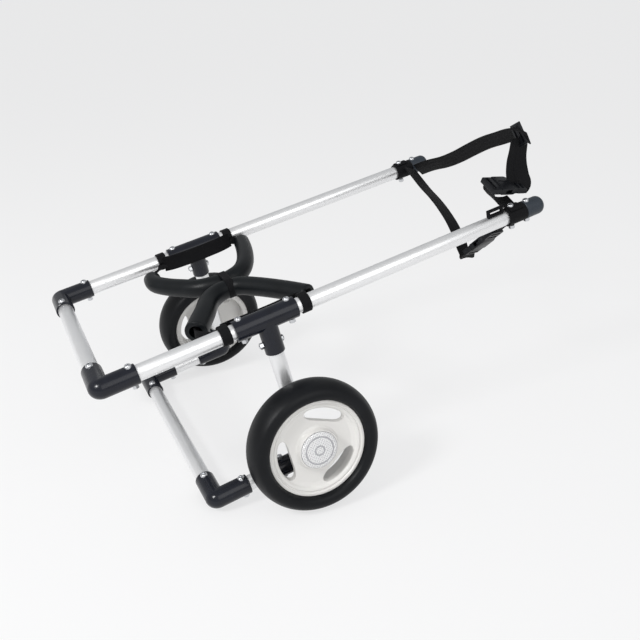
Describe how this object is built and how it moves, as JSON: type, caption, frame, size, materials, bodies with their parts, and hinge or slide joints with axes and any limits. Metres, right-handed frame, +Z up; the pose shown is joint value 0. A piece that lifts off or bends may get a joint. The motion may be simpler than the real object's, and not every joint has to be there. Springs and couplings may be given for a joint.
{
  "type": "dog wheelchair",
  "caption": "Rear-support dog wheelchair: aluminium tube frame, black socket fittings, cambered white-rimmed wheels, foam leg-ring saddle and buckled webbing harness.",
  "frame": {"origin": "on the floor, under the centre of the bounding box", "axes": "+X forward from the rear crossbar to the harness, +Y to the dog's left, +Z up"},
  "size_m": [0.6914, 0.5248, 0.4892],
  "materials": {
    "aluminium_tube": "satin anodised",
    "black_fitting": "glossy moulded nylon with steel cross bolts",
    "grey_cap": "satin blue-grey",
    "tyre": "satin black foam-filled rubber",
    "white_rim": "semi-gloss moulded plastic",
    "clear_reflector": "prismatic clear plastic",
    "steel": "zinc plated",
    "foam": "matte closed-cell foam",
    "webbing": "woven nylon webbing",
    "buckle_plastic": "satin acetal"
  },
  "bodies": {
    "cart_frame": {"left_rear_rail_tube": "aluminium_tube", "left_front_rail_tube": "aluminium_tube", "left_upper_elbow": "black_fitting", "left_axle_sleeve": "steel", "left_axle_standoff": "steel", "left_axle_bolt": "steel", "left_axle_nut": "steel", "left_strut_tube": "aluminium_tube", "left_tee": "black_fitting", "left_bottom_elbow": "black_fitting", "left_lower_side_tube": "aluminium_tube", "left_lower_elbow": "black_fitting", "right_rear_rail_tube": "aluminium_tube", "right_front_rail_tube": "aluminium_tube", "right_upper_elbow": "black_fitting", "right_axle_sleeve": "steel", "right_axle_standoff": "steel", "right_axle_bolt": "steel", "right_axle_nut": "steel", "right_strut_tube": "aluminium_tube", "right_tee": "black_fitting", "right_bottom_elbow": "black_fitting", "right_lower_side_tube": "aluminium_tube", "right_lower_elbow": "black_fitting", "rear_crossbar_tube": "aluminium_tube", "lower_crossbar_tube": "aluminium_tube", "left_foam_ring": "foam", "left_rear_rail_loop": "webbing", "left_front_rail_loop": "webbing", "left_saddle_band": "webbing", "right_foam_ring": "foam", "right_rear_rail_loop": "webbing", "right_front_rail_loop": "webbing", "right_saddle_band": "webbing", "centre_tie": "webbing", "left_collar": "webbing", "left_end_cap": "grey_cap", "right_collar": "webbing", "right_end_cap": "grey_cap", "shoulder_buckle_socket": "buckle_plastic", "belly_buckle_socket": "buckle_plastic", "top_slider": "buckle_plastic", "chest_strap": "webbing", "doubled_strap": "webbing", "plug_strap": "webbing", "strap_keeper": "webbing", "belly_strap": "webbing"},
    "left_wheel": {"left_tyre": "tyre", "left_rim": "white_rim", "left_reflector": "clear_reflector", "left_outer_bearing": "steel", "left_inner_bearing": "steel"},
    "right_wheel": {"right_tyre": "tyre", "right_rim": "white_rim", "right_reflector": "clear_reflector", "right_outer_bearing": "steel", "right_inner_bearing": "steel"},
    "shoulder_plug": {"shoulder_buckle_plug": "buckle_plastic"},
    "belly_plug": {"belly_buckle_plug": "buckle_plastic"}
  },
  "joints": [
    {"name": "left_wheel_spin", "type": "hinge", "parent": "cart_frame", "child": "left_wheel", "pos_m": [-0.07039, 0.22565, 0.09452], "axis": [-0.0309, 0.9903, 0.1357], "continuous": true},
    {"name": "right_wheel_spin", "type": "hinge", "parent": "cart_frame", "child": "right_wheel", "pos_m": [-0.07039, -0.22565, 0.09452], "axis": [-0.0309, -0.9903, 0.1357], "continuous": true},
    {"name": "shoulder_buckle_release", "type": "slide", "parent": "cart_frame", "child": "shoulder_plug", "axis": [-0.9959, 0, 0.0901], "range_m": [0, 0.028], "deforming": ["plug_strap"]},
    {"name": "belly_buckle_release", "type": "slide", "parent": "cart_frame", "child": "belly_plug", "axis": [-0.2838, 0.6364, -0.7173], "range_m": [0, 0.028], "deforming": ["belly_strap"]}
  ]
}
